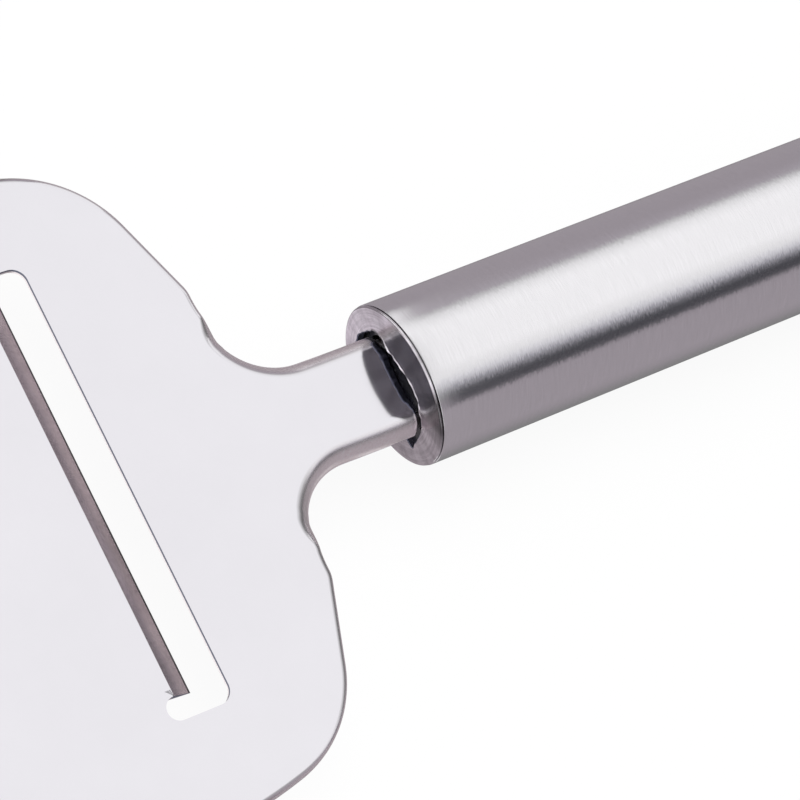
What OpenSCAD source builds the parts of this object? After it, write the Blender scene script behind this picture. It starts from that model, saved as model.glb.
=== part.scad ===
// Cheese slicer: a stamped stainless head held in a tubular stainless handle.
// Millimetres. The handle's axis lies along X with the blade towards -X, and the side that
// faces up while slicing is +Z.

/* [Sheet of the head] */
// Thickness of the stamped sheet
sheet_t = 0.8; // [0.6:0.1:1.0]
// Angle between the plate and the handle's axis, in degrees
plate_tilt = 5; // [3:0.5:6]
// Height of the neck's top over the handle's axis, at the handle's front face
neck_rise = 2.1; // [1.6:0.1:2.6]

/* [Plate] */
// Widest width of the plate, just ahead of the slot
plate_w = 80; // [74:1:88]
// Length of the plate and neck, from the handle's front face to the tip
plate_reach = 112; // [104:1:124]
// From the handle's front face to the centre of the rear shoulder arcs
shoulder_at = 41.6; // [40:0.2:44]
// Radius of the rear shoulder arcs
shoulder_r = 21.4; // [20:0.2:23]
// Width of the plate across its front corners
nose_w = 70; // [64:1:74]
// Radius of the front corners
nose_corner_r = 22; // [18:0.5:25]
// Radius of the front edge
nose_r = 80; // [70:1:110]

/* [Neck] */
// Width of the neck over its rolled edges
neck_w = 12.9; // [12:0.1:13.4]
// Outer radius of the rolled edges, which is also their depth
roll_r = 2.5; // [2:0.1:3]
// Radius of the fillets between neck and plate, at the outer face of the roll
fillet_r = 8; // [7:0.1:9]
// From the handle's front face to the centre of the fillets
fillet_at = 9.85; // [9:0.05:10.5]
// Width of the plate across the corners where the fillets end
corner_w = 34.8; // [33:0.1:36]
// Turn of the fillets from the neck to where their rolled edge starts to run out, in degrees
fillet_turn = 65; // [60:1:70]
// Radius of the fillet's last stretch, along the run-out of its rolled edge
runout_r = 15; // [12:0.5:20]
// Radius of the bend line along the run-out, where it turns out to the plate's edge
runout_bend_r = 4.7; // [4.5:0.1:5]
// How far the trim of the run-out stays off the fillet's outer face where it starts
runout_lead = 0.05; // [0.03:0.01:0.1]
// Length of the tang inside the handle
tang_len = 38; // [28:1:45]

/* [Slicing slot] */
// From the handle's front face to the rear edge of the slot
slot_at = 35.65; // [34:0.05:37]
// Length of the slot across the plate
slot_len = 54.4; // [48:0.2:58]
// From the rear edge of the slot to the bend of the cutting lip
slot_to_bend = 6.25; // [5.8:0.05:7.5]
// Radius of the slot's rear corners
slot_corner_r = 1.8; // [1:0.1:2]
// Run of the cutting lip, from its bend to its edge
lip_run = 2.6; // [2:0.1:3]
// Drop of the cutting edge under the plate's top
lip_drop = 1.8; // [1.3:0.1:2.2]
// Width of the relief notch at each end of the lip
notch_w = 2.8; // [2.4:0.1:3.2]
// Depth of the relief notches past the bend
notch_d = 1.5; // [1:0.1:2]

/* [Handle] */
// Outer diameter of the handle
handle_d = 20; // [19:0.5:22]
// Wall of the handle tube
tube_wall = 0.8; // [0.6:0.1:1]
// Length of the handle tube
tube_len = 120; // [105:1:135]
// Chamfer at the tube's ends
tube_chamfer = 0.25; // [0.1:0.05:0.3]
// Clearance between the tube and what is pressed into it
press_gap = 0.05; // [0.03:0.01:0.08]

/* [End caps] */
// Thickness of a cap's rim in front of the tube's end
rim_t = 0.4; // [0.3:0.05:0.6]
// Step of the rim inside the tube's outer face
rim_step = 0.08; // [0.05:0.01:0.12]
// Sheet of the front cap
cap_t = 0.8; // [0.7:0.1:1]
// Depth of the front cap's skirt in the tube
skirt_len = 6; // [4:0.5:8]
// Width of the arched hole for the neck
arch_w = 14; // [13.6:0.1:14.4]
// Height of the arched hole's crown over the handle's axis
arch_top = 4.6; // [4.4:0.1:5]
// Depth of the arched hole's foot under the handle's axis
arch_foot = 3.1; // [2.8:0.1:3.6]
// Radius of the arched hole's shoulders
arch_shoulder_r = 3.2; // [2.8:0.1:3.6]
// Radius of the arched hole's crown
arch_crown_r = 12; // [11:0.5:14]
// Crown of the rear cap over its rim
dome_h = 1.2; // [0.6:0.1:2]
// Depth of the rear cap's plug in the tube
plug_len = 7; // [5:0.5:9]

/* [Core] */
// Clearance round the tang in the core
tang_gap = 0.1; // [0.05:0.01:0.2]
// Plastic left behind the end of the tang
core_end = 4; // [3:0.5:6]
// Gap between the core and the front cap
core_gap = 0.1; // [0.05:0.01:0.2]

/* [Hanging loop] */
// Diameter of the loop's wire
wire_d = 2.5; // [2:0.1:3]
// Distance between the middles of the loop's legs
loop_w = 10; // [8:0.5:11]
// How far the loop's bow stands out of the rear cap's rim
loop_out = 14; // [12:0.5:18]

/* [Hidden] */
$fn = 96;
// Overrun of every cut, so that no cut ends in a face
over = 1;
steel = [0.80, 0.80, 0.82];
satin = [0.70, 0.69, 0.70];
black = [0.06, 0.06, 0.07];

handle_r = handle_d / 2;
bore_r = handle_r - tube_wall;
spigot_r = bore_r - press_gap;
rim_r = handle_r - rim_step;
tube_at = rim_t;
tube_end = tube_at + tube_len;
rear_face = tube_end + rim_t;

// Extent along X, from which the origin in the middle follows
front_x = -(plate_reach * cos(plate_tilt) + sheet_t * sin(plate_tilt));
rear_x = rear_face + loop_out;
origin_x = (front_x + rear_x) / 2;

// Places in the plate's own plane: its x runs back along the neck, from the handle's front face
neck_half = neck_w / 2;
flat_half = neck_half - roll_r;
fillet_c = [-fillet_at, neck_half + fillet_r];
bend_r = fillet_r + roll_r;
shoulder_c = [-shoulder_at, plate_w / 2 - shoulder_r];
nose_c = [-plate_reach + nose_r, 0];
nose_corner_y = nose_w / 2 - nose_corner_r;
nose_corner_c = nose_c - [sqrt(pow(nose_r - nose_corner_r, 2) - pow(nose_corner_y, 2)), -nose_corner_y];
runout_at = 270 - fillet_turn;
runout_c_off = fillet_r - runout_lead - runout_r;
runout_c = fillet_c + runout_c_off * polar(runout_at);
runout_bend_off = bend_r - runout_bend_r;
corner_y = corner_w / 2;
corner = [runout_c[0] - sqrt(pow(runout_r, 2) - pow(corner_y - runout_c[1], 2)), corner_y];

slot_half = slot_len / 2;
bend_x = -(slot_at + slot_to_bend);
lip_half = slot_half - notch_w;
edge_x = bend_x + lip_run;

function unit(v) = v / norm(v);
function polar(a) = [cos(a), sin(a)];
function mirrored(p) = [p[0], -p[1]];
function reversed(list) = [for (i = [len(list) - 1 : -1 : 0]) list[i]];

// Where the line from p touches the circle round c, on the side of +Y
function touch_from(p, c, r) =
    let (away = p - c, base = atan2(away[1], away[0]))
    c + r * polar(base + acos(r / norm(away)));

// Outward direction of the outer tangent of two circles that lie one ahead of the other
function tangent_dir(c0, r0, c1, r1) =
    let (run = c1 - c0, base = atan2(run[1], run[0]) + 360)
    polar(base - acos((r0 - r1) / norm(run)));

side_dir = tangent_dir(shoulder_c, shoulder_r, nose_corner_c, nose_corner_r);

// One side of the flat plate's outline, from the tip to the neck; its arcs are added as discs
plate_side = [
    nose_c + nose_r * unit(nose_corner_c - nose_c),
    nose_corner_c + nose_corner_r * side_dir,
    shoulder_c + shoulder_r * side_dir,
    touch_from(corner, shoulder_c, shoulder_r),
    corner,
    [-fillet_at, corner_y],
];

module both_sides() {
    children();
    mirror([0, 1, 0]) children();
}

// Puts what is drawn in the plate's plane at its angle on the handle
module on_plate() {
    translate([-origin_x, 0, handle_r + neck_rise]) rotate([0, plate_tilt, 0]) children();
}

// Puts what is drawn along the handle's axis, from its front face back, in its place
module on_axis(from = 0) {
    translate([from - origin_x, 0, handle_r]) rotate([0, 90, 0]) children();
}

module slot_outline() {
    rear = -slot_at;
    front = bend_x - notch_d;
    notch_r = notch_w / 2;
    difference() {
        union() {
            translate([front + notch_r, -slot_half])
                square([rear - front - notch_r - slot_corner_r, slot_len]);
            translate([front, -slot_half + notch_r])
                square([rear - front, slot_len - notch_r - notch_w]);
            translate([front + notch_r, -slot_half + slot_corner_r])
                square([rear - front - notch_r, slot_len - 2 * slot_corner_r]);
            both_sides() {
                translate([front + notch_r, slot_half - notch_r]) circle(notch_r);
                translate([rear - slot_corner_r, slot_half - slot_corner_r]) circle(slot_corner_r);
            }
        }
        translate([front - over, -lip_half]) square([bend_x - front + over, 2 * lip_half]);
    }
}

module flat_outline() {
    difference() {
        union() {
            polygon(concat(reversed(plate_side), [for (p = plate_side) mirrored(p)]));
            both_sides() {
                translate(shoulder_c) circle(shoulder_r);
                translate(nose_corner_c) circle(nose_corner_r);
            }
            intersection() {
                translate(nose_c) circle(nose_r);
                translate([-plate_reach, -plate_side[0][1]])
                    square([plate_reach + plate_side[0][0], 2 * plate_side[0][1]]);
            }
        }
        both_sides() {
            difference() {
                translate(fillet_c) circle(bend_r);
                at_fillet() past_seam();
            }
            at_fillet() intersection() {
                union() {
                    translate([runout_c_off, 0]) circle(runout_r);
                    translate([runout_bend_off, 0]) circle(runout_bend_r);
                }
                past_seam();
            }
        }
        slot_outline();
    }
}

// Puts the fillet's centre at the origin, with the start of the run-out on +X
module at_fillet() {
    translate(fillet_c) rotate([0, 0, runout_at]) children();
}

// What lies past the start of the run-out, round the fillet's centre
module past_seam() {
    translate([-runout_r, -runout_r]) square([2 * runout_r, runout_r]);
}

// A quarter of a ring from straight up to the right, round the origin
module quarter_ring(outer, inner) {
    intersection() {
        difference() {
            circle(outer);
            circle(inner);
        }
        square(outer);
    }
}

// Section of neck and tang: flat on top, with both edges rolled down. More than the sheet by grow.
module neck_section(grow = 0) {
    translate([-flat_half, -sheet_t - grow]) square([2 * flat_half, sheet_t + 2 * grow]);
    both_halves() translate([flat_half, -roll_r]) {
        quarter_ring(roll_r + grow, roll_r - sheet_t - grow);
        if (grow > 0) translate([roll_r - sheet_t - grow, -grow]) square([sheet_t + 2 * grow, grow]);
    }
}

module both_halves() {
    children();
    mirror([1, 0]) children();
}

// Neck and tang along the plate's x, between two places
module neck_bar(from, to, grow = 0) {
    translate([from, 0, 0]) rotate([90, 0, 90]) linear_extrude(to - from) neck_section(grow);
}

// Rolled edge along a quarter turn of the bend line, from +X
module arc_roll(radius) {
    rotate_extrude(angle = 90)
        translate([radius, -roll_r]) mirror([1, 0]) quarter_ring(roll_r, roll_r - sheet_t);
}

// Rolled edge round the fillet. Its bend line turns out to the plate's edge at the corner, so that the
// roll grows shallower there and dies away.
module fillet_roll() {
    low = -roll_r - over;
    high = roll_r + 2 * over;
    difference() {
        translate(fillet_c) rotate([0, 0, 180]) arc_roll(bend_r);
        at_fillet() translate([0, 0, low]) linear_extrude(high) past_seam();
    }
    at_fillet() difference() {
        translate([runout_bend_off, 0, 0]) rotate([0, 0, -90]) arc_roll(runout_bend_r);
        translate([runout_c_off, 0, low]) cylinder(h = high, r = runout_r);
    }
}

// Cutting lip: the slot's front edge bent down and ground to an edge that faces the handle
module cutting_lip() {
    rotate([90, 0, 0]) linear_extrude(2 * lip_half, center = true)
        polygon([
            [bend_x - sheet_t, 0],
            [bend_x - sheet_t, -sheet_t],
            [edge_x, -lip_drop],
            [bend_x, 0],
        ]);
}

module blade_head() {
    color(steel) on_plate() {
        translate([0, 0, -sheet_t]) linear_extrude(sheet_t) flat_outline();
        cutting_lip();
        both_sides() fillet_roll();
        neck_bar(-fillet_at, tang_len);
    }
}

// Arched hole in the front cap, in the cap's own plane, with its crown towards +Y
module arch_outline() {
    half = arch_w / 2;
    crown_c = [0, arch_top - arch_crown_r];
    shoulder_x = half - arch_shoulder_r;
    shoulder_y = crown_c[1] + sqrt(pow(arch_crown_r - arch_shoulder_r, 2) - pow(shoulder_x, 2));
    touch = crown_c + arch_crown_r * unit([shoulder_x, shoulder_y] - crown_c);
    polygon([
        [-half, -arch_foot],
        [half, -arch_foot],
        [half, shoulder_y],
        touch,
        [-touch[0], touch[1]],
        [-half, shoulder_y],
    ]);
    both_halves() translate([shoulder_x, shoulder_y]) circle(arch_shoulder_r);
    intersection() {
        translate(crown_c) circle(arch_crown_r);
        translate([-touch[0], 0]) square([2 * touch[0], arch_top]);
    }
}

module front_cap() {
    color(satin) difference() {
        union() {
            on_axis() cylinder(h = rim_t, r = rim_r);
            on_axis() cylinder(h = skirt_len, r = spigot_r);
        }
        on_axis(cap_t) cylinder(h = skirt_len, r = spigot_r - cap_t);
        on_axis(-over) rotate([0, 0, 90]) mirror([1, 0, 0]) linear_extrude(cap_t + 2 * over) arch_outline();
    }
}

module handle_tube() {
    color(satin) on_axis(tube_at) rotate_extrude() polygon([
        [bore_r, 0],
        [handle_r - tube_chamfer, 0],
        [handle_r, tube_chamfer],
        [handle_r, tube_len - tube_chamfer],
        [handle_r - tube_chamfer, tube_len],
        [bore_r, tube_len],
    ]);
}

module tang_core() {
    front = cap_t + core_gap;
    wide_at = skirt_len + core_gap;
    end = tang_len + core_end;
    color(black) difference() {
        union() {
            on_axis(front) cylinder(h = end - front, r = spigot_r - cap_t - core_gap);
            on_axis(wide_at) cylinder(h = end - wide_at, r = spigot_r);
        }
        on_plate() neck_bar(-over, tang_len + tang_gap, tang_gap);
    }
}

module rear_cap() {
    dome_r = (pow(rim_r, 2) + pow(dome_h, 2)) / (2 * dome_h);
    color(satin) difference() {
        union() {
            on_axis(tube_end - plug_len) cylinder(h = plug_len, r = spigot_r);
            on_axis(tube_end) cylinder(h = rim_t, r = rim_r);
            intersection() {
                on_axis(tube_end) cylinder(h = rim_t + dome_h, r = rim_r);
                on_axis(rear_face + dome_h - dome_r) sphere(dome_r);
            }
        }
        both_sides() translate([0, loop_w / 2, 0])
            on_axis(tube_end - plug_len - over)
                cylinder(h = plug_len + rim_t + dome_h + 2 * over, r = wire_d / 2 + press_gap);
    }
}

module hanging_loop() {
    bow_r = loop_w / 2;
    bow_at = rear_x - wire_d / 2 - bow_r;
    leg_at = tube_end - plug_len;
    color(steel) {
        both_sides() translate([0, bow_r, 0]) on_axis(leg_at) cylinder(h = bow_at - leg_at, d = wire_d);
        translate([bow_at - origin_x, 0, handle_r]) rotate([0, 0, -90])
            rotate_extrude(angle = 180) translate([bow_r, 0]) circle(d = wire_d);
    }
}

blade_head();
front_cap();
handle_tube();
tang_core();
rear_cap();
hanging_loop();
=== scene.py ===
"""Looks of the cheese slicer: steel finishes, camera and a white studio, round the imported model.

Metres, in the part's own frame: the handle lies along X with the blade towards -X, and +Z is up.
"""
import math

import bmesh
import bpy
from mathutils import Matrix, Vector


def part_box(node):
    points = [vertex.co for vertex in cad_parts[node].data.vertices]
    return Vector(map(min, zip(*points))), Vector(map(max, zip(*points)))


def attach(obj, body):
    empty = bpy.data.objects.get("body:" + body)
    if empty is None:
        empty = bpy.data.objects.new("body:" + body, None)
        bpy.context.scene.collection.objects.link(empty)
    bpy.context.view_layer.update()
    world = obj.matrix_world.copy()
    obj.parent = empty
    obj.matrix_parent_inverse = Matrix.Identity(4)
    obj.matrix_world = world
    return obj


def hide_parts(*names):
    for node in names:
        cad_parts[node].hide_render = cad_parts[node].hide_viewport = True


MM = 0.001

# Camera, in the photograph's frame of 800 x 800
CAMERA_AT = Vector((-0.15710, -0.08778, 0.33797))
CAMERA_TARGET = Vector((-0.01208, -0.00292, 0.01000))
CAMERA_ROLL = math.radians(34.92)
CAMERA_LENS = 144.75
CAMERA_SENSOR = 36.0
CAMERA_SHIFT_Y = 0.0125
CAMERA_CLIP = 0.01

# Colours, linear
HEAD_COLOUR = (0.823, 0.807, 0.847)
TUBE_COLOUR = (0.875, 0.862, 0.885)
CAP_COLOUR = (0.86, 0.83, 0.87)
CAP_DULL = (0.68, 0.64, 0.68)
ROLL_COLOUR = (0.98, 0.91, 0.92)
SHEARED_COLOUR = (0.17, 0.18, 0.24)
HONED_COLOUR = (0.10, 0.09, 0.09)
GROUND_COLOUR = (0.78, 0.68, 0.70)
CORE_COLOUR = (0.012, 0.012, 0.014)
SMEAR_COLOUR = (0.05, 0.05, 0.055)
GLINT_SPECK_COLOUR = (0.6, 0.6, 0.6)
LOOP_COLOUR = (0.80, 0.80, 0.82)
FLOOR_COLOUR = (0.9, 0.9, 0.9, 1)
WHITE = (1, 1, 1, 1)
CARD_GREY = (0.335, 0.305, 0.33)
CARD_LIGHT = (0.365, 0.335, 0.365)
CARD_BLACK = (0.05, 0.05, 0.058)
PANEL_DARK = (0.07, 0.068, 0.078)
PANEL_GREY = (0.36, 0.33, 0.36)

# Cosine between the plate's way up and the surface, where the sheet counts as flat and as fully rolled
FLAT_FACING = 0.985
BENT_FACING = 0.80
# Brushing of the tube: how far a stroke tips the surface, as a slope, and how many times as fast the
# strokes and the fine lines change along X as round the tube
STROKE_TIP = 0.22
STROKE_PACE = 10
FINE_PACE = 26
# Turned caps: pace of the rings round the axis and along X, and of the painted highlight streaks along the
# radius
RING_PACE = 0.02
RING_X_PACE = 0.2
HIGHLIGHT_STREAK_PACE = 0.05
# Corner of painted shade on the caps: where it starts and is full, to the -Y side and over the axis in
# metres, and its tone
PAINTED_SHADE_SIDE = (-0.0042, -0.006)
PAINTED_SHADE_UP = (0.001, 0.005)
PAINTED_SHADE_TONE = 0.28

# Stage, in metres
FLOOR_HALF = 3.0
FLOOR_Z = -0.0002
CARD_Z = 0.0001
# Share of the floor's light that no shadow takes away
FLOOR_GLOW = 0.92
# Strength of the surroundings for what is neither seen nor mirrored
WORLD_LIGHT = 0.6
LAMP_AT = Vector((0.2, 0.3, 1.2))
LAMP_SIZE = 1.2
LAMP_ENERGY = 12

# Cards that the metal mirrors. The stops of a card's glow are pairs of a place and a colour or grey.
# Walls along the handle, and three short ones nearer to the neck and the plate's left shoulder: name, x
# from and to, y, and stops from the floor up to the top edge
WALLS = (
    ("left", (-0.07, 0.9), 0.2, (
        (0, CARD_GREY), (0.045, CARD_GREY), (0.083, CARD_LIGHT), (0.108, CARD_LIGHT), (0.126, 0.50),
        (0.145, 0.70), (0.166, 0.84), (0.217, 0.94), (0.285, 1.0))),
    ("near", (-0.02, 0.0095), 0.06, (
        (0, CARD_GREY), (0.0120, CARD_GREY), (0.0170, CARD_LIGHT), (0.0200, 0.49), (0.0220, 0.66),
        (0.0245, 0.80), (0.028, 0.90), (0.034, 0.97), (0.09, 1.0))),
    ("dim", (-0.050, -0.030), 0.06, ((0, 0.20), (0.07, 0.22))),
    ("right", (-0.18, 0.9), -0.2, (
        (0, CARD_GREY), (0.089, CARD_GREY), (0.097, CARD_BLACK), (0.152, CARD_BLACK),
        (0.178, (0.12, 0.118, 0.132)), (0.21, (0.32, 0.315, 0.345)), (0.275, (0.68, 0.675, 0.71)),
        (0.37, 0.86), (0.53, 0.93), (0.75, 1.0))),
    ("near_right", (-0.03, 0.008), -0.06, (
        (0, CARD_GREY), (0.05, CARD_LIGHT), (0.063, 0.42), (0.087, 0.72), (0.12, 0.88), (0.16, 0.95))),
)
# Level cards: name, axis of the glow, x from and to, y from and to, z, and stops. Stops along Y go by the
# distance from the XZ plane. The last card is the dark panel over the camera.
LEVEL_CARDS = (
    # The under card is darker in its middle: a painted shadow of the handle on the floor, seen only in the
    # metal.
    ("under", "Y", (-0.05, 0.9), (-0.2, 0.2), CARD_Z, (
        (0, 0.20), (0.011, 0.21), (0.018, (0.30, 0.275, 0.295)), (0.024, CARD_GREY), (0.03, CARD_GREY))),
    ("before_cap", "Y", (-0.024, -0.0095), (-0.03, 0.0), 2 * CARD_Z, (
        (0, (0.35, 0.315, 0.335)), (0.03, (0.40, 0.36, 0.385)))),
    ("before_rim", "Y", (-0.0140, -0.0105), (-0.017, -0.0128), 3 * CARD_Z, ((0, 1.0), (0.03, 1.0))),
    ("beside_cap", "Y", (-0.024, -0.0125), (0.0, 0.016), 2 * CARD_Z, (
        (0, (0.47, 0.42, 0.46)), (0.006, (0.64, 0.59, 0.64)), (0.02, (0.66, 0.62, 0.66)))),
    ("overhead", "X", (-0.30, 0.03), (-0.35, 0.35), 0.40, (
        (-0.30, (0.10, 0.096, 0.108)), (-0.20, PANEL_DARK), (-0.165, PANEL_DARK), (-0.14, PANEL_GREY),
        (-0.09, PANEL_GREY), (-0.065, CARD_BLACK), (0.03, (0.035, 0.035, 0.045)))),
)
# Upright card past the handle's end
END_X = 0.6
END_HALF = 0.5
END_STOPS = ((0, 0.15), (0.2, 0.15), (0.3, 0.38), (0.42, 0.68), (0.6, 0.95))

# Sizes of the head in mm, in the plate's own plane: u runs back along the neck from the handle's front
# face, v to the side and w up from the plate's top
SHEET_T = 0.8
PLATE_TILT = math.radians(5)
# How far the plate's plane stands over the handle's axis at the front face
NECK_RISE = 2.1
PLATE_REACH = 112.0
NOSE_W = 70.0
NOSE_CORNER_R = 22.0
NOSE_R = 80.0
# Shoulder: centre and radius of its arc, where that runs into the flatter arc of the flank, and the half
# width that the flank reaches
SHOULDER_AT = 36.29
SHOULDER_V = 23.14
SHOULDER_R = 15.24
SHOULDER_TURN = math.radians(76)
FLANK_V = 39.8
# Back corners of the plate: width over both, and rounding
CORNER_W = 36.6
CORNER_R = 3.6
NECK_W = 12.9
# Outer radius of the rolled edges
ROLL_R = 2.5
# Fillets between neck and plate, and how far they turn before their run-out, in degrees
FILLET_R = 8.0
FILLET_AT = 9.85
FILLET_TURN = 65.0
# Run-out of the roll: radii of its edge and of its bend line, how far it starts inside the fillet's
# circle, and its steps
RUNOUT_R = 15.0
RUNOUT_BEND_R = 4.7
RUNOUT_LEAD = 0.05
RUNOUT_STEPS = 24
SLOT_AT = 35.65
SLOT_LEN = 54.4
SLOT_TO_BEND = 6.25
SLOT_CORNER_R = 1.8
LIP_RUN = 2.6
LIP_DROP = 1.8
# Soft bend of the lip
LIP_BEND = 0.25
NOTCH_W = 2.8
NOTCH_D = 1.5
# Honed bevel along the cutting edge, and how far its top stands over the edge
HONE_RUN = 0.35
HONE_RISE = 0.38
# Rise of the neck as it enters the handle, the length before the handle over which it comes, its power
# and the steps along it
ENTRY_RISE = 0.5
ENTRY_RUN = 8.0
ENTRY_POWER = 1.9
ENTRY_STEP = 0.4
# The neck keeps its width up to NECK_END and narrows to the tang's at TANG_AT
NECK_END = -0.35
TANG_AT = 0.35
TANG_W = 11.6
TANG_LEN = 38.0

# Rounding of the sheet's punched edge, across and down, and of its lower edge
DIE_W = 1.0
DIE_H = 0.55
BURR_R = 0.06
# Strip along every edge that follows it, in from the edge
MARGIN = 3.3
SLOT_MARGIN = 0.8
# Torn part of a punched wall, under the top; the rest is burnished
TORN_H = 0.42
# Steps of the section over the rounded top and under it
TOP_STEPS = 14
UNDER_STEPS = 9
# How far a chord of a curve may lie off it, the longest step along a straight, and the widest angle of an
# edge that shades smooth
CHORD_ERROR = 0.003
LONG_STEP = 4.0
SMOOTH_ANGLE = math.radians(40)

# Sizes of the handle in mm
TUBE_WALL = 0.8
TUBE_ROUND = 0.1
RIM_T = 0.4
# Rounding of a rim, along the axis and inward, and of its back
RIM_ROUND_X = 0.2
RIM_ROUND_R = 0.3
BACK_ROUND = 0.03
# Dark joint between a cap's rim and the tube
JOINT_W = 0.15
SPIGOT_R = 9.15
CAP_T = 0.8
# How far inside the rim the rows of the rear dome start, in roundings of the rim
DOME_CLEAR = 1.2
ARCH_W = 14.0
ARCH_TOP = 4.6
ARCH_FOOT = 3.1
ARCH_SHOULDER_R = 3.2
ARCH_CROWN_R = 12.0
ARCH_FOOT_R = 0.4
# Least steps of the arch's crown and shoulders
ARCH_CROWN_STEPS = 30
ARCH_SHOULDER_STEPS = 16
# Burr along the torn hole: its width, its height, how much that varies, the waves of this change as turn
# for each mm and shift, how far its inner foot lies behind the face, and its steps
BURR_W = 0.29
BURR_H = 0.06
BURR_CHANGE = 0.48
BURR_WAVES = ((2.1, 0), (3.7, 1))
BURR_SINK = 0.06
BURR_STEPS = 8
# The torn edge: places along it from the crown, and how far it lies outside its drawn outline there
TORN_EDGE = ((-14.5, 0), (-12.6, -0.06), (-10.7, -0.27), (-7.8, -0.42), (-5.5, -0.36), (-4.5, 0.04),
             (-3.4, 0.33), (-2.2, 0.30), (-0.8, 0), (0.7, -0.38), (2.2, -0.57), (3.2, -0.79), (4.1, -0.48),
             (4.8, -0.16), (6, -0.05), (7.8, -0.2), (9, 0), (10.1, 0.44), (10.9, 0.68), (11.5, 0.4),
             (12.2, 0))
# Waves of the hole's edge: size, turn for each mm, and shift
TEAR_WAVES = ((0.03, 2.9, 0.4), (0.025, 5.3, 1.7), (0.015, 9.1, 0.2))
# Steps along the hole's straight sides
TEAR_STEP = 0.3
# Slant of the handle's front end, forward on the +Y side, and the length over which it fades out
FACE_SLANT = 0.053
SLANT_RUN = 6.0
# Shear of the hole on the slanted face, up and to the side for each mm to the side; its foot stays level,
# and the shear fades out between the two heights
HOLE_SHEAR_UP = 0.1175
HOLE_SHEAR_SIDE = -0.0305
SHEARED_OVER = -0.8
LEVEL_UNDER = -2.6
# Flat strip that follows a rounded edge, so that the face beside it shades flat
FLAT_EDGE = 0.12
# Steps round the handle, round the wire and along its bow, and the radius of the rear cap's two end faces
TURN_STEPS = 192
WIRE_STEPS = 32
BOW_STEPS = 48
HUB_R = 0.4

# Places of the finishes in a piece's list
MAIN, SHEARED, GROUND, HONED = range(4)


def add_node(tree, kind, inputs=None, **settings):
    """A shader node with its settings and the values or links of its inputs."""
    node = tree.nodes.new(kind)
    for name, value in settings.items():
        setattr(node, name, value)
    for name, value in (inputs or {}).items():
        if isinstance(value, bpy.types.NodeSocket):
            tree.links.new(value, node.inputs[name])
        else:
            node.inputs[name].default_value = value
    return node


def maths(tree, operation, a, b=0.0):
    return add_node(tree, "ShaderNodeMath", {0: a, 1: b}, operation=operation).outputs[0]


def times(tree, a, b):
    return maths(tree, "MULTIPLY", a, b)


def vector_maths(tree, operation, inputs, output=0):
    return add_node(tree, "ShaderNodeVectorMath", inputs, operation=operation).outputs[output]


def blank_material(name):
    material = bpy.data.materials.new(name)
    material.use_nodes = True
    material.node_tree.nodes.clear()
    return material, material.node_tree


def surface(tree, shader):
    add_node(tree, "ShaderNodeOutputMaterial", {"Surface": shader})


def steel(tree, colour, roughness, anisotropy=0.0, **inputs):
    """Bare metal; colour and roughness may be links."""
    values = {"Base Color": (*colour, 1) if isinstance(colour, tuple) else colour, "Metallic": 1.0,
              "Roughness": roughness, "Anisotropic": anisotropy}
    values.update(inputs)
    return add_node(tree, "ShaderNodeBsdfPrincipled", values).outputs[0]


def place(tree):
    """The part's own X, Y and Z at the shaded point, in metres."""
    coordinates = add_node(tree, "ShaderNodeTexCoord").outputs["Object"]
    return add_node(tree, "ShaderNodeSeparateXYZ", {0: coordinates}).outputs


def vector(tree, x, y, z):
    return add_node(tree, "ShaderNodeCombineXYZ", {0: x, 1: y, 2: z}).outputs[0]


def drawn_place(tree, *paces):
    """The shaded point with X, Y and Z times a pace each; grain on it is long where the pace is low."""
    return vector(tree, *[times(tree, value, pace) for value, pace in zip(place(tree), paces)])


def noise(tree, at, scale, detail=2.0, roughness=0.5):
    return add_node(tree, "ShaderNodeTexNoise", {
        "Vector": at, "Scale": scale, "Detail": detail, "Roughness": roughness}).outputs[0]


def rescale(tree, value, low=0.0, high=1.0, to_low=0.0, to_high=1.0):
    """Takes low to to_low and high to to_high, and keeps to these two."""
    return add_node(tree, "ShaderNodeMapRange", {0: value, 1: low, 2: high, 3: to_low, 4: to_high}).outputs[0]


def tinted(tree, colour, factor, low, high):
    """The colour times low to high, as factor goes from 0 to 1."""
    share = rescale(tree, factor, to_low=low, to_high=high)
    return vector_maths(tree, "SCALE", {0: colour, "Scale": share})


def mixed(tree, factor, a, b):
    """Colour a to b, as factor goes from 0 to 1."""
    node = add_node(tree, "ShaderNodeMix", data_type="RGBA")
    for socket, value in ((node.inputs[0], factor), (node.inputs[6], a), (node.inputs[7], b)):
        if isinstance(value, bpy.types.NodeSocket):
            tree.links.new(value, socket)
        else:
            socket.default_value = (*value, 1)
    return node.outputs[2]


def ramp(tree, factor, stops):
    """Colours between stops of (place, colour or grey)."""
    node = add_node(tree, "ShaderNodeValToRGB", {0: factor})
    points = node.color_ramp.elements
    while len(points) < len(stops):
        points.new(1.0)
    for point, (at, colour) in zip(points, stops):
        point.position = at
        point.color = (*colour, 1) if isinstance(colour, tuple) else (colour, colour, colour, 1)
    return node.outputs[0]


def bump(tree, height, strength, distance, normal=None):
    inputs = {"Height": height, "Strength": strength, "Distance": distance}
    if normal:
        inputs["Normal"] = normal
    return add_node(tree, "ShaderNodeBump", inputs).outputs[0]


def round_the_axis(tree):
    """Length round the handle's axis on a radius of 10 mm, in metres."""
    _, y, z = place(tree)
    up = maths(tree, "SUBTRACT", z, axis_z)
    return times(tree, maths(tree, "ARCTAN2", y, up), 10 * MM)


def bent_share(tree):
    """0 where the sheet is flat, 1 where it is rolled down."""
    normal = add_node(tree, "ShaderNodeNewGeometry").outputs["Normal"]
    up = (math.sin(PLATE_TILT), 0, math.cos(PLATE_TILT))
    facing = vector_maths(tree, "DOT_PRODUCT", {0: normal, 1: up}, output="Value")
    return rescale(tree, facing, FLAT_FACING, BENT_FACING)


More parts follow.
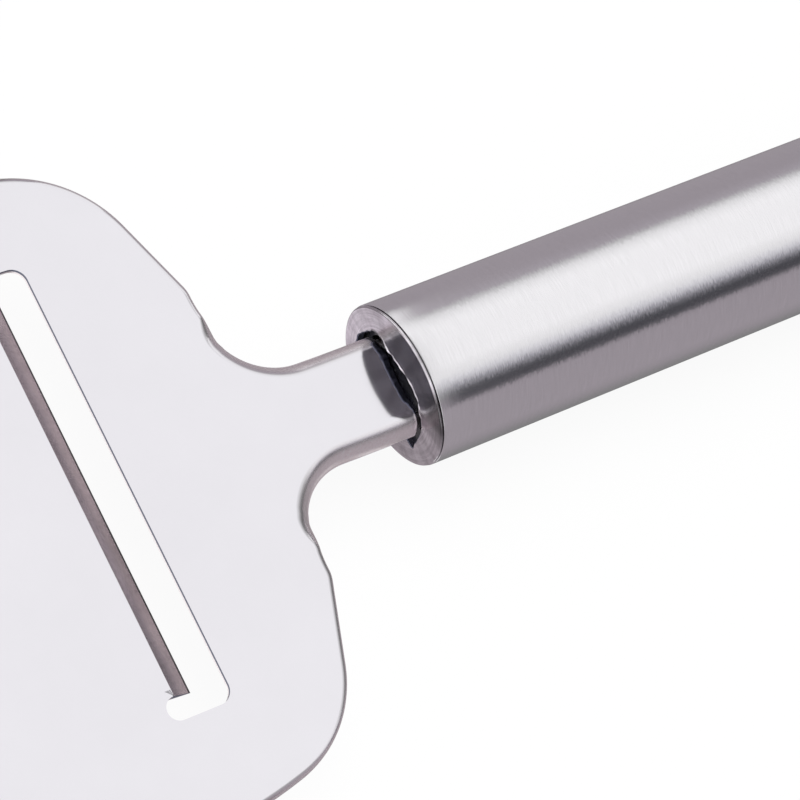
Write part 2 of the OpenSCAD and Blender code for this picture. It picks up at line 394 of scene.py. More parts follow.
def head_material():
    """Polished sheet with faint clouds; the rolled edges are grainier from the drawing."""
    material, tree = blank_material("head_steel")
    at = vector(tree, *place(tree))
    bent = bent_share(tree)
    cloud = noise(tree, at, scale=90, detail=5, roughness=0.6)
    grain = noise(tree, at, scale=3600, detail=4, roughness=0.75)
    sheet = tinted(tree, HEAD_COLOUR, cloud, low=0.97, high=1.03)
    drawn = tinted(tree, ROLL_COLOUR, grain, low=0.75, high=1.25)
    wave = bump(tree, noise(tree, at, scale=120), strength=0.03, distance=MM)
    normal = bump(tree, times(tree, grain, bent), strength=0.6, distance=0.02 * MM, normal=wave)
    roughness = rescale(tree, bent, to_low=0.09, to_high=0.34)
    surface(tree, steel(tree, mixed(tree, bent, sheet, drawn), roughness, Normal=normal))
    return material


def sheared_material():
    """Punched edges: dull and darker."""
    material, tree = blank_material("sheared_steel")
    grain = noise(tree, drawn_place(tree, 1, 1, 0.2), scale=7000, detail=3)
    colour = tinted(tree, SHEARED_COLOUR, grain, low=0.7, high=1.3)
    normal = bump(tree, grain, strength=0.4, distance=0.02 * MM)
    surface(tree, steel(tree, colour, roughness=0.45, Normal=normal))
    return material


def ground_material():
    """The lip's ground face, with its lines from the bend to the edge."""
    material, tree = blank_material("ground_steel")
    lines = noise(tree, drawn_place(tree, 0.12, 1, 0), scale=3500, detail=4, roughness=0.65)
    broad = noise(tree, drawn_place(tree, 0.3, 1, 0), scale=260)
    tone = maths(tree, "ADD", times(tree, lines, 0.5), times(tree, broad, 0.5))
    colour = tinted(tree, GROUND_COLOUR, tone, low=0.6, high=1.4)
    normal = bump(tree, lines, strength=0.5, distance=0.02 * MM)
    surface(tree, steel(tree, colour, roughness=0.22, Normal=normal))
    return material


def honed_material():
    """The narrow bevel along the cutting edge."""
    material, tree = blank_material("honed_steel")
    lines = noise(tree, drawn_place(tree, 0.2, 1, 0), scale=6000, detail=3)
    colour = tinted(tree, HONED_COLOUR, lines, low=0.7, high=1.3)
    normal = bump(tree, lines, strength=0.3, distance=0.01 * MM)
    surface(tree, steel(tree, colour, roughness=0.3, Normal=normal))
    return material


def tube_material():
    """Stainless tube brushed round its axis: short strokes that tip the surface a little round the tube."""
    material, tree = blank_material("handle_steel")
    x, y, z = place(tree)
    around = round_the_axis(tree)
    strokes = noise(tree, vector(tree, times(tree, x, STROKE_PACE), around, 0),
                    scale=1300, detail=4, roughness=0.65)
    fine = noise(tree, vector(tree, times(tree, x, FINE_PACE), around, 0.3),
                 scale=300, detail=3, roughness=0.6)
    tip = times(tree, maths(tree, "SUBTRACT", strokes, 0.5), STROKE_TIP)
    outward = vector(tree, 0, maths(tree, "SUBTRACT", z, axis_z), times(tree, y, -1))
    round_way = vector_maths(tree, "NORMALIZE", {0: outward})
    tipping = vector_maths(tree, "SCALE", {0: round_way, "Scale": tip})
    normal = add_node(tree, "ShaderNodeNewGeometry").outputs["Normal"]
    tipped = vector_maths(tree, "NORMALIZE", {0: vector_maths(tree, "ADD", {0: normal, 1: tipping})})
    colour = tinted(tree, TUBE_COLOUR, fine, low=0.92, high=1.08)
    brushed = bump(tree, fine, strength=0.5, distance=0.012 * MM, normal=tipped)
    surface(tree, steel(tree, colour, roughness=0.2, anisotropy=0.7, Normal=brushed,
                        Tangent=vector(tree, 1, 0, 0)))
    return material


def cap_material():
    """Turned end faces: fine rings round the axis, streaks across them that are painted highlights, a dull
    bloom and a corner of painted shade.
    """
    material, tree = blank_material("cap_steel")
    x, y, z = place(tree)
    up = maths(tree, "SUBTRACT", z, axis_z)
    radius = maths(tree, "SQRT", maths(tree, "ADD", times(tree, y, y), times(tree, up, up)))
    around = round_the_axis(tree)
    rings = noise(tree, vector(tree, radius, times(tree, around, RING_PACE), times(tree, x, RING_X_PACE)),
                  scale=4200, detail=3, roughness=0.7)
    # Streaks along the radius that lighten and darken the colour: painted highlights of the turned face.
    painted_highlight_streaks = noise(tree, vector(tree, times(tree, radius, HIGHLIGHT_STREAK_PACE), around, 0.2),
                    scale=420, detail=2, roughness=0.6)
    bloom = noise(tree, vector(tree, x, y, z), scale=700, detail=4, roughness=0.6)
    share = times(tree, rescale(tree, rings, low=0.38, high=0.62, to_low=0.82, to_high=1.12),
                  rescale(tree, painted_highlight_streaks, low=0.35, high=0.65, to_low=0.82, to_high=1.12))
    # Painted shade: the colour darkens towards the corner on the -Y side over the axis.
    painted_shade_corner = times(tree, rescale(tree, y, *PAINTED_SHADE_SIDE), rescale(tree, up, *PAINTED_SHADE_UP))
    share = times(tree, share, rescale(tree, painted_shade_corner, to_low=1, to_high=PAINTED_SHADE_TONE))
    dull = mixed(tree, rescale(tree, bloom, low=0.35, high=0.65), CAP_COLOUR, CAP_DULL)
    colour = vector_maths(tree, "SCALE", {0: dull, "Scale": share})
    roughness = rescale(tree, bloom, low=0.3, high=0.7, to_low=0.12, to_high=0.22)
    normal = bump(tree, rings, strength=0.6, distance=0.016 * MM)
    surface(tree, steel(tree, colour, roughness, Normal=normal))
    return material


def core_material():
    """Glossy black plastic with a few bright specks painted in as glints, and grey smears."""
    material, tree = blank_material("core_plastic")
    at = vector(tree, *place(tree))
    # Bright specks in the colour: painted glints.
    painted_glint_specks = rescale(tree, noise(tree, at, scale=2600, detail=1), low=0.74, high=0.78)
    smear = rescale(tree, noise(tree, drawn_place(tree, 1, 0.4, 1), scale=900, detail=3),
                    low=0.5, high=0.8, to_high=0.5)
    colour = mixed(tree, painted_glint_specks, mixed(tree, smear, CORE_COLOUR, SMEAR_COLOUR), GLINT_SPECK_COLOUR)
    normal = bump(tree, noise(tree, at, scale=700, detail=3), strength=0.4, distance=0.1 * MM)
    surface(tree, add_node(tree, "ShaderNodeBsdfPrincipled", {
        "Base Color": colour, "Roughness": 0.18, "Normal": normal}).outputs[0])
    return material


def loop_material():
    """Bright drawn wire, with fine lines along it."""
    material, tree = blank_material("loop_steel")
    lines = noise(tree, drawn_place(tree, 0.1, 1, 1), scale=4000)
    colour = tinted(tree, LOOP_COLOUR, lines, low=0.92, high=1.05)
    normal = bump(tree, lines, strength=0.3, distance=0.01 * MM)
    surface(tree, steel(tree, colour, roughness=0.16, Normal=normal))
    return material


def floor_material():
    """White to the camera and in the metal, but for the object's soft shadow."""
    material, tree = blank_material("floor_white")
    lit = add_node(tree, "ShaderNodeBsdfDiffuse", {"Color": FLOOR_COLOUR}).outputs[0]
    white = add_node(tree, "ShaderNodeEmission", {"Color": WHITE}).outputs[0]
    surface(tree, add_node(tree, "ShaderNodeMixShader", {0: FLOOR_GLOW, 1: lit, 2: white}).outputs[0])
    return material


def card_material(name, axis, stops):
    """Glow that changes along one axis, from its first stop to its last."""
    material, tree = blank_material(name)
    along = place(tree)[axis]
    if axis == "Y":
        along = maths(tree, "ABSOLUTE", along)
    start, end = stops[0][0], stops[-1][0]
    share = rescale(tree, along, start, end)
    colour = ramp(tree, share, [((at - start) / (end - start), tone) for at, tone in stops])
    surface(tree, add_node(tree, "ShaderNodeEmission", {"Color": colour}).outputs[0])
    return material


def one_face(name, corners, material):
    """A flat object with four corners."""
    mesh = bpy.data.meshes.new(name)
    mesh.from_pydata(corners, [], [(0, 1, 2, 3)])
    mesh.update()
    mesh.materials.append(material)
    made = bpy.data.objects.new(name, mesh)
    bpy.context.scene.collection.objects.link(made)
    return made


def card(name, corners, material):
    """A studio card that only shows in what mirrors it."""
    made = one_face(name, corners, material)
    made.visible_camera = False
    made.visible_diffuse = False
    made.visible_shadow = False


def make_stage():
    """White floor, the walls and level cards of the tables, and the card past the handle's end."""
    half = FLOOR_HALF
    floor = one_face("floor", [(-half, -half, FLOOR_Z), (half, -half, FLOOR_Z), (half, half, FLOOR_Z),
                               (-half, half, FLOOR_Z)], floor_material())
    for name, (start, end), y, stops in WALLS:
        top = stops[-1][0]
        card(name + "_wall", [(start, y, 0), (end, y, 0), (end, y, top), (start, y, top)],
             card_material("card_" + name, "Z", stops))
    for name, axis, (start, end), (low, high), z, stops in LEVEL_CARDS:
        card(name, [(start, low, z), (end, low, z), (end, high, z), (start, high, z)],
             card_material("card_" + name, axis, stops))
    top = END_STOPS[-1][0]
    half = END_HALF
    card("end", [(END_X, -half, 0), (END_X, half, 0), (END_X, half, top), (END_X, -half, top)],
         card_material("card_end", "Z", END_STOPS))


def make_world():
    """White surroundings, which light the part less than they show."""
    world = bpy.data.worlds.new("studio")
    world.use_nodes = True
    bpy.context.scene.world = world
    tree = world.node_tree
    tree.nodes.clear()
    path = add_node(tree, "ShaderNodeLightPath").outputs
    seen = maths(tree, "MAXIMUM", path["Is Camera Ray"], path["Is Glossy Ray"])
    seen = maths(tree, "MAXIMUM", seen, path["Is Transmission Ray"])
    strength = rescale(tree, seen, to_low=WORLD_LIGHT)
    light = add_node(tree, "ShaderNodeBackground", {"Color": WHITE, "Strength": strength}).outputs[0]
    add_node(tree, "ShaderNodeOutputWorld", {"Surface": light})


def make_lamp():
    """Soft lamp that gives the shadow on the floor."""
    lamp = bpy.data.lights.new("softbox", "AREA")
    lamp.shape = "SQUARE"
    lamp.size = LAMP_SIZE
    lamp.energy = LAMP_ENERGY
    made = bpy.data.objects.new("softbox", lamp)
    bpy.context.scene.collection.objects.link(made)
    made.location = LAMP_AT
    made.rotation_euler = (CAMERA_TARGET - LAMP_AT).to_track_quat("-Z", "Y").to_euler()
    made.visible_glossy = False


def make_camera():
    """The photograph's camera."""
    data = bpy.data.cameras.new("camera")
    data.lens = CAMERA_LENS
    data.sensor_width = CAMERA_SENSOR
    data.sensor_fit = "HORIZONTAL"
    data.shift_y = CAMERA_SHIFT_Y
    data.clip_start = CAMERA_CLIP
    camera = bpy.data.objects.new("camera", data)
    bpy.context.scene.collection.objects.link(camera)
    level = (CAMERA_TARGET - CAMERA_AT).to_track_quat("-Z", "Y").to_matrix()
    turned = level @ Matrix.Rotation(CAMERA_ROLL, 3, "Z")
    camera.matrix_world = Matrix.Translation(CAMERA_AT) @ turned.to_4x4()
    bpy.context.scene.camera = camera


def flat(x, y):
    return Vector((x, y))


def polar(angle):
    return flat(math.cos(angle), math.sin(angle))


def angle_of(v):
    return math.atan2(v.y, v.x)


def arc(centre, radius, start, end, outward=1, least=4):
    """Points along an arc, each with the direction out of the sheet."""
    steps = max(least, math.ceil(abs(end - start) * radius / math.sqrt(8 * radius * CHORD_ERROR)))
    turns = [start + (end - start) * i / steps for i in range(steps + 1)]
    return [(centre + radius * polar(t), outward * polar(t)) for t in turns]


def straight(start, end, out, step=LONG_STEP):
    """Points between two places, without these two."""
    steps = max(2, math.ceil((end - start).length / step))
    return [(start.lerp(end, i / steps), out) for i in range(1, steps)]


def touch_from(p, centre, radius):
    """Direction from the centre to where the line from p touches the circle."""
    away = p - centre
    return polar(angle_of(away) + math.acos(radius / away.length))


def side_direction(c0, r0, c1, r1):
    """Direction out of the outer tangent of two circles."""
    run = c1 - c0
    return polar(angle_of(run) - math.acos((r0 - r1) / run.length))


def head_side():
    """Half of the head's outline, from the tip to the tang's end: point, way out, and how far the edge
    lies past the bend line of its roll."""
    neck_half = NECK_W / 2
    fillet_c = flat(-FILLET_AT, neck_half + FILLET_R)
    shoulder_c = flat(-SHOULDER_AT, SHOULDER_V)
    rise = math.sin(SHOULDER_TURN)
    flank_r = (FLANK_V - SHOULDER_V - SHOULDER_R * rise) / (1 - rise)
    flank_c = shoulder_c + (SHOULDER_R - flank_r) * polar(SHOULDER_TURN)
    nose_c = flat(NOSE_R - PLATE_REACH, 0)
    corner_y = NOSE_W / 2 - NOSE_CORNER_R
    nose_corner_c = nose_c + flat(-math.sqrt((NOSE_R - NOSE_CORNER_R) ** 2 - corner_y ** 2), corner_y)
    seam = math.radians(270 - FILLET_TURN)
    runout_off = FILLET_R - RUNOUT_LEAD - RUNOUT_R
    runout_c = fillet_c + runout_off * polar(seam)
    bend_off = FILLET_R + ROLL_R - RUNOUT_BEND_R - runout_off
    corner_v = CORNER_W / 2
    corner = flat(runout_c.x - math.sqrt(RUNOUT_R ** 2 - (corner_v - runout_c.y) ** 2), corner_v)
    side = side_direction(flank_c, flank_r, nose_corner_c, NOSE_CORNER_R)
    back = touch_from(corner, shoulder_c, SHOULDER_R)
    touch = shoulder_c + SHOULDER_R * back

    # Round corner between the straight back edge and the run-out
    along = (corner - touch).normalized()
    inner = touch - CORNER_R * back
    offset = inner - runout_c
    half = offset.dot(along)
    spread = math.sqrt(half ** 2 - offset.length_squared + (RUNOUT_R + CORNER_R) ** 2)
    ahead = -half - spread
    if ahead < 0:
        ahead = -half + spread
    corner_c = inner + ahead * along
    runout_start = angle_of(corner_c - runout_c) % (2 * math.pi)

    def runout_roll(angle):
        turn = angle - seam
        room = RUNOUT_BEND_R ** 2 - (bend_off * math.sin(turn)) ** 2
        if room <= 0:
            return 0.0
        return min(ROLL_R, max(0.0, bend_off * math.cos(turn) + math.sqrt(room) - RUNOUT_R))

    nose_turn = angle_of(nose_corner_c - nose_c)
    rows = arc(nose_c, NOSE_R, math.pi, nose_turn)
    rows += arc(nose_corner_c, NOSE_CORNER_R, nose_turn, angle_of(side))[1:]
    rows += straight(rows[-1][0], flank_c + flank_r * side, side)
    rows += arc(flank_c, flank_r, angle_of(side), SHOULDER_TURN)
    rows += arc(shoulder_c, SHOULDER_R, SHOULDER_TURN, angle_of(back))[1:]
    rows += straight(touch, corner_c + CORNER_R * back, back)
    rows += arc(corner_c, CORNER_R, angle_of(back), runout_start - math.pi)
    rows = [(point, out, 0.0) for point, out in rows]
    for i in range(1, RUNOUT_STEPS + 1):
        angle = runout_start + (seam - runout_start) * i / RUNOUT_STEPS
        rows.append((runout_c + RUNOUT_R * polar(angle), -polar(angle), runout_roll(angle)))
    fillet = arc(fillet_c, FILLET_R, seam, 1.5 * math.pi, outward=-1)[1:]
    neck = []
    tang_half = TANG_W / 2
    for end, half_width, step in ((-ENTRY_RUN, neck_half, LONG_STEP), (NECK_END, neck_half, ENTRY_STEP),
                                  (TANG_AT, tang_half, ENTRY_STEP), (TANG_LEN, tang_half, LONG_STEP)):
        last = (fillet + neck)[-1][0]
        stop = flat(end, half_width)
        neck += straight(last, stop, flat(0, 1), step) + [(stop, flat(0, 1))]
    return rows + [(point, out, ROLL_R) for point, out in fillet + neck]


def edge_section(roll):
    """Section of the sheet at its edge, from the top over the edge to the underside, as distance past the
    edge and height. Roll is how far the edge lies past the bend line."""
    inner_r = ROLL_R - SHEET_T

    def top(past):
        bent = past + roll
        height = math.sqrt(ROLL_R ** 2 - bent ** 2) - ROLL_R if bent > 0 else 0.0
        share = min(1.0, max(0.0, 1 + past / DIE_W))
        return height - (1 - roll / ROLL_R) * DIE_H * (1 - math.sqrt(1 - share ** 2))

    def under(past):
        bent = past + roll
        if bent <= 0:
            return -SHEET_T
        return math.sqrt(inner_r ** 2 - bent ** 2) - ROLL_R if bent < inner_r else -ROLL_R

    depth = max(roll, DIE_W)
    lowest = under(-BURR_R)
    section = [(-MARGIN, 0.0)]
    for i in range(TOP_STEPS + 1):
        past = depth * (math.sin(math.pi / 2 * i / TOP_STEPS) - 1)
        section.append((past, max(top(past), lowest + 2 * BURR_R)))
    section.append((0.0, lowest + BURR_R))
    section.append((-BURR_R, lowest))
    first = min(-2 * BURR_R, inner_r - roll)
    for i in range(UNDER_STEPS + 1):
        past = -depth + (first + depth) * math.cos(math.pi / 2 * i / UNDER_STEPS)
        section.append((past, under(past)))
    section.append((-MARGIN, -SHEET_T))
    return section


def slot_half():
    """Half of the slot's outline, from the middle of its rear edge to the middle of the lip, as point,
    way out of the sheet, and whether it runs along the lip."""
    half = SLOT_LEN / 2
    rear = -SLOT_AT
    bend = rear - SLOT_TO_BEND
    notch_r = NOTCH_W / 2
    lip_half = half - NOTCH_W
    corner_c = flat(rear - SLOT_CORNER_R, half - SLOT_CORNER_R)
    notch_c = flat(bend - NOTCH_D + notch_r, half - notch_r)
    rows = [(flat(rear, 0), flat(-1, 0))]
    rows += straight(flat(rear, 0), flat(rear, corner_c.y), flat(-1, 0))
    rows += arc(corner_c, SLOT_CORNER_R, 0, math.pi / 2, outward=-1)
    rows += straight(flat(corner_c.x, half), flat(notch_c.x, half), flat(0, -1))
    rows += arc(notch_c, notch_r, math.pi / 2, 1.5 * math.pi, outward=-1)
    rows = [(point, out, False) for point, out in rows]
    rows.append((flat(bend, lip_half), flat(1, 1), True))
    rows += [(point, out, True) for point, out in straight(flat(bend, lip_half), flat(bend, 0), flat(1, 0))]
    return rows + [(flat(bend, 0), flat(1, 0), True)]


def mirrored_rows(rows):
    return [(flat(row[0].x, -row[0].y), flat(row[1].x, -row[1].y), *row[2:]) for row in reversed(rows)]


def on_plate(point, height):
    """A place over the plate and the risen neck, in the part's frame."""
    cos, sin = math.cos(PLATE_TILT), math.sin(PLATE_TILT)
    height += ENTRY_RISE * min(1, max(0, 1 + point.x / ENTRY_RUN)) ** ENTRY_POWER
    return Vector((front_face_x + MM * (point.x * cos + height * sin), MM * point.y,
                   axis_z + MM * (NECK_RISE - point.x * sin + height * cos)))


class Shell:
    """A mesh in the making: vertices in rows, faces between them."""

    def __init__(self):
        self.mesh = bmesh.new()

    def row(self, places):
        return [self.mesh.verts.new(place) for place in places]

    def face(self, corners, kind=MAIN):
        made = self.mesh.faces.new(corners)
        made.material_index = kind
        return made

    def bridge(self, a, b, kinds=None):
        """Joins two rows; kinds are the finishes of the faces along them."""
        for i in range(len(a) - 1):
            self.face((a[i], a[i + 1], b[i + 1], b[i]), kinds[i] if kinds else MAIN)

    def wrap(self, rows, kinds=None):
        """Joins rows all the way round."""
        for i, row in enumerate(rows):
            self.bridge(rows[i - 1], row, kinds)

    def fill(self, *loops):
        """Fills what lies between closed loops in one plane."""
        edges = []
        for loop in loops:
            for i, vertex in enumerate(loop):
                pair = (vertex, loop[i - 1])
                edges.append(self.mesh.edges.get(pair) or self.mesh.edges.new(pair))
        bmesh.ops.triangle_fill(self.mesh, use_beauty=True, edges=edges)

    def finish(self, name, materials):
        """Makes the object, with sharp edges where it bends or changes its finish."""
        bmesh.ops.recalc_face_normals(self.mesh, faces=self.mesh.faces)
        data = bpy.data.meshes.new(name)
        for edge in self.mesh.edges:
            kinds = {face.material_index for face in edge.link_faces}
            edge.smooth = (len(edge.link_faces) == 2 and len(kinds) == 1
                           and edge.calc_face_angle() < SMOOTH_ANGLE)
        for face in self.mesh.faces:
            face.smooth = True
        self.mesh.to_mesh(data)
        self.mesh.free()
        for material in materials:
            data.materials.append(material)
        made = bpy.data.objects.new(name, data)
        bpy.context.scene.collection.objects.link(made)
        return made


def make_head(materials):
    """Stamped head as one sheet, with rounded edges, the rolls of neck and fillets, slot and lip."""
    shell = Shell()
    side = head_side()
    rows = []
    for point, out, roll in side + mirrored_rows(side)[:-1]:
        rows.append(shell.row(on_plate(point + past * out, height) for past, height in edge_section(roll)))
    # The punched wall and its lower edge
    kinds = [MAIN] * (len(rows[0]) - 1)
    kinds[TOP_STEPS + 1] = SHEARED
    kinds[TOP_STEPS + 2] = SHEARED
    last = len(side) - 1
    for i, row in enumerate(rows):
        if i != last:
            shell.bridge(row, rows[(i + 1) % len(rows)], kinds)
    shell.face(rows[last] + rows[last + 1][::-1], SHEARED)

    half = slot_half()
    slot_rows = half + mirrored_rows(half)[1:-1]
    back = SLOT_TO_BEND + SLOT_AT
    edge_u = LIP_RUN - back
    # Across the slot's wall: strip on top, upper edge, end of the torn part, lower edge, strip below
    columns = []
    for point, out, on_lip in slot_rows:
        foot = flat(-back - SHEET_T, point.y) if on_lip else point
        torn = -SHEET_T / 2 if on_lip else -TORN_H
        columns.append(shell.row([
            on_plate(point - SLOT_MARGIN * out, 0), on_plate(point, 0),
            on_plate(point.lerp(foot, -torn / SHEET_T), torn),
            on_plate(foot, -SHEET_T), on_plate(foot - SLOT_MARGIN * out, -SHEET_T)]))
    lip = []
    for i, (point, out, on_lip) in enumerate(slot_rows):
        after = (i + 1) % len(slot_rows)
        both = on_lip and slot_rows[after][2]
        shell.bridge(columns[i][:2], columns[after][:2])
        shell.bridge(columns[i][3:], columns[after][3:])
        if not both:
            shell.bridge(columns[i][1:4], columns[after][1:4], [SHEARED, MAIN])
        if on_lip:
            lip.append((columns[i], shell.row([
                on_plate(flat(LIP_BEND - back, point.y), -LIP_BEND * LIP_DROP / LIP_RUN),
                on_plate(flat(edge_u - HONE_RUN, point.y), HONE_RISE - LIP_DROP),
                on_plate(flat(edge_u, point.y), -LIP_DROP)])))
    for (column, edge), (next_column, next_edge) in zip(lip, lip[1:]):
        shell.bridge([column[1], *edge, column[3]], [next_column[1], *next_edge, next_column[3]],
                     [GROUND, GROUND, HONED, MAIN])
    for column, edge in (lip[0], lip[-1]):
        shell.face([column[1], *edge, column[3], column[2]], SHEARED)

    shell.fill([row[0] for row in rows], [column[0] for column in columns])
    shell.fill([row[-1] for row in rows], [column[4] for column in columns])
    for row in columns:
        if not row[2].link_faces:
            shell.mesh.verts.remove(row[2])
    return shell.finish("stamped_head", materials)


def on_axis(x, side, up):
    """A place behind the handle's slanted front face, beside its axis and over it, from mm."""
    x -= FACE_SLANT * side * min(1, max(0, 1 - x / SLANT_RUN))
    return Vector((front_face_x + MM * x, MM * side, axis_z + MM * up))


def reach(name, axis):
    """Lowest and highest place of a node along an axis, in mm from the handle's front face and axis."""
    zero = (front_face_x, 0, axis_z)[axis]
    low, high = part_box(name)
    return (low[axis] - zero) / MM, (high[axis] - zero) / MM


def curve(x, radius, rounding, start, end):
    """Rounded corner of a profile of places along the axis and radii."""
    return [point for point, _ in arc(flat(x, radius), rounding, math.radians(start), math.radians(end))]


def turned(shell, profile):
    """Rows of a profile of places along the axis and radii, turned round the axis."""
    turns = [2 * math.pi * i / TURN_STEPS for i in range(TURN_STEPS)]
    return [shell.row(on_axis(p.x, p.y * math.sin(t), p.y * math.cos(t)) for p in profile) for t in turns]


def rim_profile(face_at, back_at, radius):
    """A cap's rim from its rounded face edge to its back; face_at may lie on either side of back_at."""
    way = 1 if back_at > face_at else -1
    quarter = curve(0, 0, 1, 180, 90)
    rounded = [flat(RIM_ROUND_X * (1 + p.x), radius - RIM_ROUND_R * (1 - p.y)) for p in quarter]
    back = curve(0, radius - BACK_ROUND, BACK_ROUND, 90, 0)
    return ([flat(face_at + way * p.x, p.y) for p in rounded]
            + [flat(back_at - way * (BACK_ROUND - p.x), p.y) for p in back])


def make_tube(material):
    """Tube with slightly rounded ends."""
    shell = Shell()
    start, end = reach("handle_tube", 0)
    radius = reach("handle_tube", 1)[1]
    bore = radius - TUBE_WALL
    profile = [flat(start, bore)] + curve(start + TUBE_ROUND, radius - TUBE_ROUND, TUBE_ROUND, 180, 90)
    steps = math.ceil((end - start) / LONG_STEP)
    profile += [flat(start + (end - start) * i / steps, radius) for i in range(1, steps)]
    profile += curve(end - TUBE_ROUND, radius - TUBE_ROUND, TUBE_ROUND, 90, 0) + [flat(end, bore)]
    rows = turned(shell, profile)
    shell.wrap([row + row[:1] for row in rows])
    return shell.finish("brushed_tube", [material])


def arch_half():
    """Half of the cap's arched hole, from its crown to the middle of its foot, as height over the axis and
    side: point, way out."""
    half = ARCH_W / 2
    crown_c = flat(ARCH_TOP - ARCH_CROWN_R, 0)
    side = half - ARCH_SHOULDER_R
    shoulder_c = flat(crown_c.x + math.sqrt((ARCH_CROWN_R - ARCH_SHOULDER_R) ** 2 - side ** 2), side)
    foot_c = flat(ARCH_FOOT_R - ARCH_FOOT, half - ARCH_FOOT_R)
    turn = angle_of(shoulder_c - crown_c)
    rows = arc(crown_c, ARCH_CROWN_R, 0, turn, least=ARCH_CROWN_STEPS)
    rows += arc(shoulder_c, ARCH_SHOULDER_R, turn, math.pi / 2, least=ARCH_SHOULDER_STEPS)[1:]
    rows += straight(rows[-1][0], flat(foot_c.x, half), flat(0, 1), TEAR_STEP)
    rows += arc(foot_c, ARCH_FOOT_R, math.pi / 2, math.pi)
    rows += straight(rows[-1][0], flat(-ARCH_FOOT, 0), flat(-1, 0))
    return rows + [(flat(-ARCH_FOOT, 0), flat(-1, 0))]


def torn_out(along):
    """How far the hole's edge lies outside its drawn outline, at a place along it from the crown."""
    waves = sum(size * math.sin(pace * along + shift) for size, pace, shift in TEAR_WAVES)
    for (start, first), (end, last) in zip(TORN_EDGE, TORN_EDGE[1:]):
        if start <= along < end:
            share = (along - start) / (end - start)
            return waves + first + (last - first) * share ** 2 * (3 - 2 * share)
    return 0.0


def burr_section(along):
    """Depth and distance from the hole's edge: flat face, raised burr, then the hole's wall."""
    height = BURR_H * sum([BURR_CHANGE * math.sin(pace * along + shift) for pace, shift in BURR_WAVES], 1)
    section = [(0.0, BURR_W + FLAT_EDGE)]
    for i in range(BURR_STEPS + 1):
        share = i / BURR_STEPS
        deep = BURR_SINK * share ** 4 - height * math.sin(math.pi * share) ** 2
        section.append((deep, BURR_W * (1 - share)))
    return section + [(CAP_T, 0.0)]


def on_slanted_face(deep, spot):
    """A place of the hole, sheared from its height and side on an upright face."""
    level = min(1, max(0, (SHEARED_OVER - spot.x) / (SHEARED_OVER - LEVEL_UNDER)))
    lift = (1 - level) * spot.y - level * ARCH_W / 2
    return on_axis(deep, spot.y * (1 + HOLE_SHEAR_SIDE), spot.x + HOLE_SHEAR_UP * lift)


def make_front_cap(materials):
    """Stamped cap: rounded rim, skirt in the tube and the arched hole with its torn edge."""
    shell = Shell()
    radius = reach("front_cap", 1)[1]
    skirt_end = reach("front_cap", 0)[1]
    inner = SPIGOT_R - CAP_T
    back = RIM_T - JOINT_W
    profile = [flat(0, radius - RIM_ROUND_R - FLAT_EDGE)] + rim_profile(0, back, radius)
    profile += [flat(back, SPIGOT_R), flat(skirt_end, SPIGOT_R), flat(skirt_end, inner), flat(CAP_T, inner)]
    rows = turned(shell, profile)
    shell.wrap(rows)

    half = arch_half()
    along = [0.0]
    for here, after in zip(half, half[1:]):
        along.append(along[-1] + (after[0] - here[0]).length)
    places = along + [-at for at in reversed(along)][1:-1]
    hole = []
    for at, (point, out) in zip(places, half + mirrored_rows(half)[1:-1]):
        spots = [(deep, point + (torn_out(at) + away) * out) for deep, away in burr_section(at)]
        hole.append(shell.row(on_slanted_face(deep, spot) for deep, spot in spots))
    turning = BURR_STEPS // 2 + 1
    shell.wrap(hole, [MAIN] * turning + [SHEARED] * turning)
    shell.fill([row[0] for row in rows], [row[0] for row in hole])
    shell.fill([row[-1] for row in rows], [row[-1] for row in hole])
    return shell.finish("front_end_cap", materials)


def make_rear_cap(material):
    """Domed cap with its plug in the tube."""
    shell = Shell()
    start, end = reach("rear_cap", 0)
    tube_end = reach("handle_tube", 0)[1]
    radius = reach("rear_cap", 1)[1]
    face = tube_end + RIM_T
    dome_r = (radius ** 2 + (end - face) ** 2) / (2 * (end - face))
    tilt = math.degrees(math.asin((radius - RIM_ROUND_R) / dome_r))
    profile = [flat(start, HUB_R), flat(start, SPIGOT_R), flat(tube_end + JOINT_W, SPIGOT_R)]
    profile += rim_profile(face, tube_end + JOINT_W, radius)[::-1]
    dome_edge = radius - DOME_CLEAR * RIM_ROUND_R
    profile += [p for p in curve(end - dome_r, 0, dome_r, tilt, 0) if HUB_R < p.y < dome_edge]
    rows = turned(shell, profile + [flat(end, HUB_R)])
    shell.wrap(rows)
    shell.face([row[0] for row in rows])
    shell.face([row[-1] for row in rows])
    return shell.finish("rear_end_cap", [material])


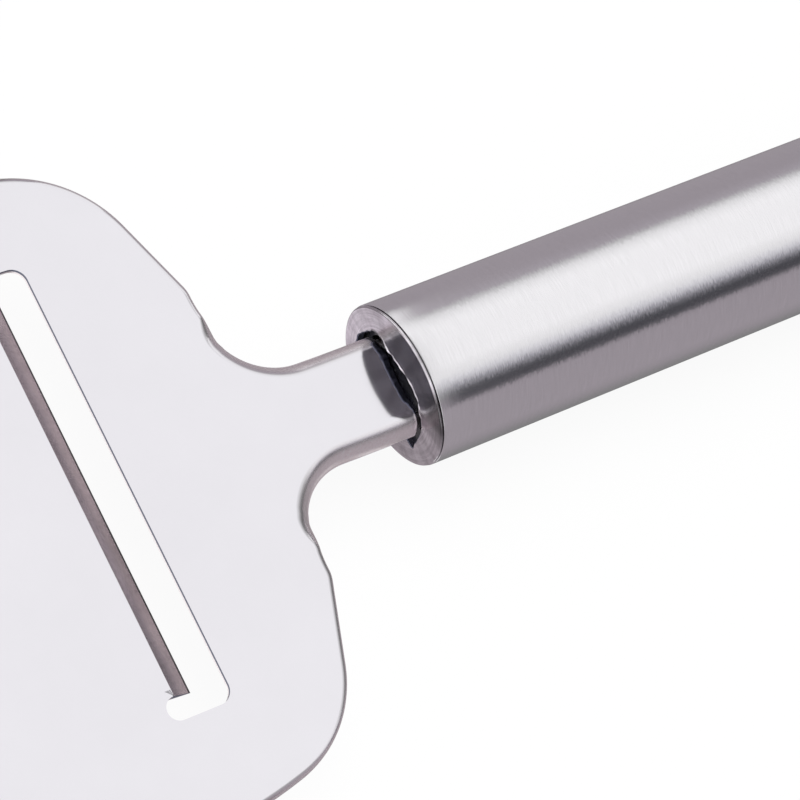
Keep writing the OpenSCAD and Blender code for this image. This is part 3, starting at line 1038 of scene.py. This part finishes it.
def make_loop(material):
    """Bent wire: two legs and a bow."""
    shell = Shell()
    start, end = reach("hanging_loop", 0)
    wire_r = reach("hanging_loop", 2)[1]
    bow_r = reach("hanging_loop", 1)[1] - wire_r
    bow_at = end - wire_r - bow_r
    bend = arc(flat(bow_at, 0), bow_r, -math.pi / 2, math.pi / 2, least=BOW_STEPS)
    foot, way = flat(start, -bow_r), flat(0, -1)
    leg = [(foot, way)] + straight(foot, flat(bow_at, -bow_r), way)
    turns = [2 * math.pi * i / WIRE_STEPS for i in range(WIRE_STEPS)]
    rings = []
    for point, out in leg + bend + mirrored_rows(leg):
        round_it = [(point + wire_r * math.cos(t) * out, wire_r * math.sin(t)) for t in turns]
        rings.append(shell.row(on_axis(p.x, p.y, up) for p, up in round_it))
    for ring, after in zip(rings, rings[1:]):
        shell.bridge(ring + ring[:1], after + after[:1])
    shell.face(rings[0])
    shell.face(rings[-1])
    return shell.finish("wire_loop", [material])


def stand_for(piece, node):
    """Lets a piece take a CAD node's place."""
    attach(piece, "root")
    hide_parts(node)


def dress(name, material):
    """Gives a CAD node its finish."""
    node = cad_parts[name]
    node.data.materials.clear()
    node.data.materials.append(material)


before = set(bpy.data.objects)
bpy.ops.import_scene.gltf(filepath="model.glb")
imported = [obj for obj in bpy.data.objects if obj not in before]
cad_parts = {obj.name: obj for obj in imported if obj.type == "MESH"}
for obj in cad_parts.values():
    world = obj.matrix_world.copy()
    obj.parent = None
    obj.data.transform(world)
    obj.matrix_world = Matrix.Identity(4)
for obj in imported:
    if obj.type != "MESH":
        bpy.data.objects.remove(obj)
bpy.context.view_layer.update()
bpy.context.scene.view_settings.view_transform = "Standard"

make_camera()
make_world()
make_lamp()
make_stage()

# The handle's front face and axis, from the frame
front_face_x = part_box("front_cap")[0].x
axis_z = (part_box("handle_tube")[0].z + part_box("handle_tube")[1].z) / 2

sheared = sheared_material()
cap_steel = cap_material()
head_finishes = [head_material(), sheared, ground_material(), honed_material()]
stand_for(make_head(head_finishes), "blade_head")
stand_for(make_front_cap([cap_steel, sheared]), "front_cap")
stand_for(make_tube(tube_material()), "handle_tube")
stand_for(make_rear_cap(cap_steel), "rear_cap")
stand_for(make_loop(loop_material()), "hanging_loop")
dress("tang_core", core_material())
